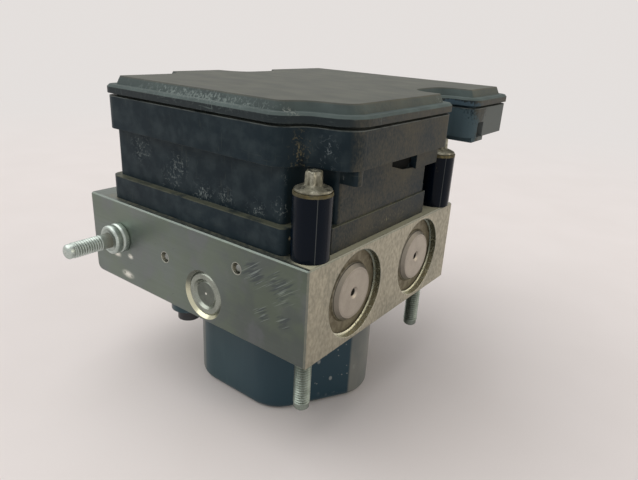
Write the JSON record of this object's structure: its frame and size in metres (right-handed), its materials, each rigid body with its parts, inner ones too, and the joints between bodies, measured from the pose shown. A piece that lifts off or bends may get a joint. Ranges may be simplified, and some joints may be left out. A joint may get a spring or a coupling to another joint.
{
  "type": "anti-lock brake module",
  "caption": "Anti-lock brake hydraulic unit: machined aluminium block, hexagonal pump motor below, plastic control unit with overhanging lid and socket on top, threaded mounting studs.",
  "frame": {"origin": "centre of the motor's end face, on the motor's axis", "axes": "+Z along the motor's axis up to the control unit's lid; +X towards the two accumulators; -Y towards the side stud"},
  "size_m": [0.1166, 0.1625, 0.1194],
  "materials": {
    "block_aluminium": "machined, brushed, faintly stained",
    "zinc_steel": "zinc plated",
    "steel": "ground",
    "plug_steel": "pressed, satin",
    "cover_steel": "pressed, satin",
    "spring_steel": "drawn wire",
    "bush_steel": "yellow passivated, dirty",
    "dark_screw": "black zinc",
    "motor_paint": "satin dip coat",
    "rubber": "matt",
    "ferrite": "sintered",
    "copper": "enamelled copper",
    "bronze": "sintered bronze",
    "carbon": "graphite",
    "brush_plastic": "moulded",
    "terminal_plastic": "moulded",
    "housing_plastic": "moulded, dusty",
    "lid_plastic": "moulded, matt, dusty",
    "coil_plastic": "wound bobbin",
    "board_green": "solder mask",
    "board_black": "moulded",
    "pin_tin": "tinned"
  },
  "bodies": {
    "module": {"valve_block": "block_aluminium", "passage_balls": "steel", "side_stud": "zinc_steel", "bottom_studs": "zinc_steel", "pump_plug_front": "plug_steel", "pump_plug_rear": "plug_steel", "pump_sleeve_front": "steel", "pump_sleeve_rear": "steel", "pump_spring_front": "spring_steel", "pump_spring_rear": "spring_steel", "accumulator_cover_front": "cover_steel", "accumulator_cover_rear": "cover_steel", "accumulator_spring_front": "spring_steel", "accumulator_spring_rear": "spring_steel", "inlet_valve_bodies": "steel", "outlet_valve_bodies": "steel", "motor_housing": "motor_paint", "motor_screws": "dark_screw", "motor_seal": "rubber", "motor_magnets": "ferrite", "rear_bush": "bronze", "bearing_outer_ring": "steel", "brush_plate": "brush_plastic", "carbon_brushes": "carbon", "brush_springs": "spring_steel", "motor_terminals": "terminal_plastic", "ecu_housing": "housing_plastic", "ecu_lid": "lid_plastic", "ecu_seal": "rubber", "ecu_bushes": "bush_steel", "ecu_screws": "zinc_steel", "valve_coils": "coil_plastic", "coil_yokes": "steel", "circuit_board": "board_green", "board_parts": "board_black", "connector_pins": "pin_tin"},
    "rotor": {"motor_shaft": "steel", "armature_core": "steel", "armature_windings": "copper", "commutator": "copper", "bearing_inner_ring": "steel"},
    "drive_ring": {"eccentric_ring": "steel"},
    "ball_set": {"bearing_balls": "steel"},
    "front_pump_piston": {"pump_piston_front": "steel"},
    "rear_pump_piston": {"pump_piston_rear": "steel"},
    "front_accumulator_piston": {"accumulator_piston_front": "block_aluminium", "accumulator_seal_front": "rubber"},
    "rear_accumulator_piston": {"accumulator_piston_rear": "block_aluminium", "accumulator_seal_rear": "rubber"},
    "inlet_valve_1": {"inlet_plunger_1": "steel"},
    "outlet_valve_1": {"outlet_plunger_1": "steel"},
    "inlet_valve_2": {"inlet_plunger_2": "steel"},
    "outlet_valve_2": {"outlet_plunger_2": "steel"},
    "inlet_valve_3": {"inlet_plunger_3": "steel"},
    "outlet_valve_3": {"outlet_plunger_3": "steel"},
    "inlet_valve_4": {"inlet_plunger_4": "steel"},
    "outlet_valve_4": {"outlet_plunger_4": "steel"}
  },
  "joints": [
    {"name": "rotor_spin", "type": "hinge", "parent": "module", "child": "rotor", "pos_m": [0, 0, 0], "axis": [0, 0, 1], "continuous": true},
    {"name": "drive_ring_spin", "type": "hinge", "parent": "rotor", "child": "drive_ring", "pos_m": [0.0012, 0, 0], "axis": [0, 0, 1], "continuous": true},
    {"name": "ball_set_roll", "type": "hinge", "parent": "module", "child": "ball_set", "pos_m": [0, 0, 0], "axis": [0, 0, 1], "continuous": true},
    {"name": "front_pump_stroke", "type": "slide", "parent": "module", "child": "front_pump_piston", "axis": [0, -1, 0], "range_m": [0, 0.0024], "stiffness_N_per_m": 1500, "springref_m": -0.004, "deforming": ["pump_spring_front"]},
    {"name": "rear_pump_stroke", "type": "slide", "parent": "module", "child": "rear_pump_piston", "axis": [0, 1, 0], "range_m": [0, 0.0024], "stiffness_N_per_m": 1500, "springref_m": -0.004, "deforming": ["pump_spring_rear"]},
    {"name": "front_accumulator_stroke", "type": "slide", "parent": "module", "child": "front_accumulator_piston", "axis": [1, 0, 0], "range_m": [0, 0.01], "stiffness_N_per_m": 1500, "springref_m": -0.006, "deforming": ["accumulator_spring_front"]},
    {"name": "rear_accumulator_stroke", "type": "slide", "parent": "module", "child": "rear_accumulator_piston", "axis": [1, 0, 0], "range_m": [0, 0.01], "stiffness_N_per_m": 1500, "springref_m": -0.006, "deforming": ["accumulator_spring_rear"]},
    {"name": "inlet_valve_1_stroke", "type": "slide", "parent": "module", "child": "inlet_valve_1", "axis": [0, 0, -1], "range_m": [0, 0.00035], "stiffness_N_per_m": 600, "springref_m": -0.002},
    {"name": "outlet_valve_1_stroke", "type": "slide", "parent": "module", "child": "outlet_valve_1", "axis": [0, 0, 1], "range_m": [0, 0.00035], "stiffness_N_per_m": 600, "springref_m": -0.002},
    {"name": "inlet_valve_2_stroke", "type": "slide", "parent": "module", "child": "inlet_valve_2", "axis": [0, 0, -1], "range_m": [0, 0.00035], "stiffness_N_per_m": 600, "springref_m": -0.002},
    {"name": "outlet_valve_2_stroke", "type": "slide", "parent": "module", "child": "outlet_valve_2", "axis": [0, 0, 1], "range_m": [0, 0.00035], "stiffness_N_per_m": 600, "springref_m": -0.002},
    {"name": "inlet_valve_3_stroke", "type": "slide", "parent": "module", "child": "inlet_valve_3", "axis": [0, 0, -1], "range_m": [0, 0.00035], "stiffness_N_per_m": 600, "springref_m": -0.002},
    {"name": "outlet_valve_3_stroke", "type": "slide", "parent": "module", "child": "outlet_valve_3", "axis": [0, 0, 1], "range_m": [0, 0.00035], "stiffness_N_per_m": 600, "springref_m": -0.002},
    {"name": "inlet_valve_4_stroke", "type": "slide", "parent": "module", "child": "inlet_valve_4", "axis": [0, 0, -1], "range_m": [0, 0.00035], "stiffness_N_per_m": 600, "springref_m": -0.002},
    {"name": "outlet_valve_4_stroke", "type": "slide", "parent": "module", "child": "outlet_valve_4", "axis": [0, 0, 1], "range_m": [0, 0.00035], "stiffness_N_per_m": 600, "springref_m": -0.002}
  ],
  "couplings": [
    {"joint": "ball_set_roll", "follows": "rotor_spin", "ratio": 0.39}
  ]
}
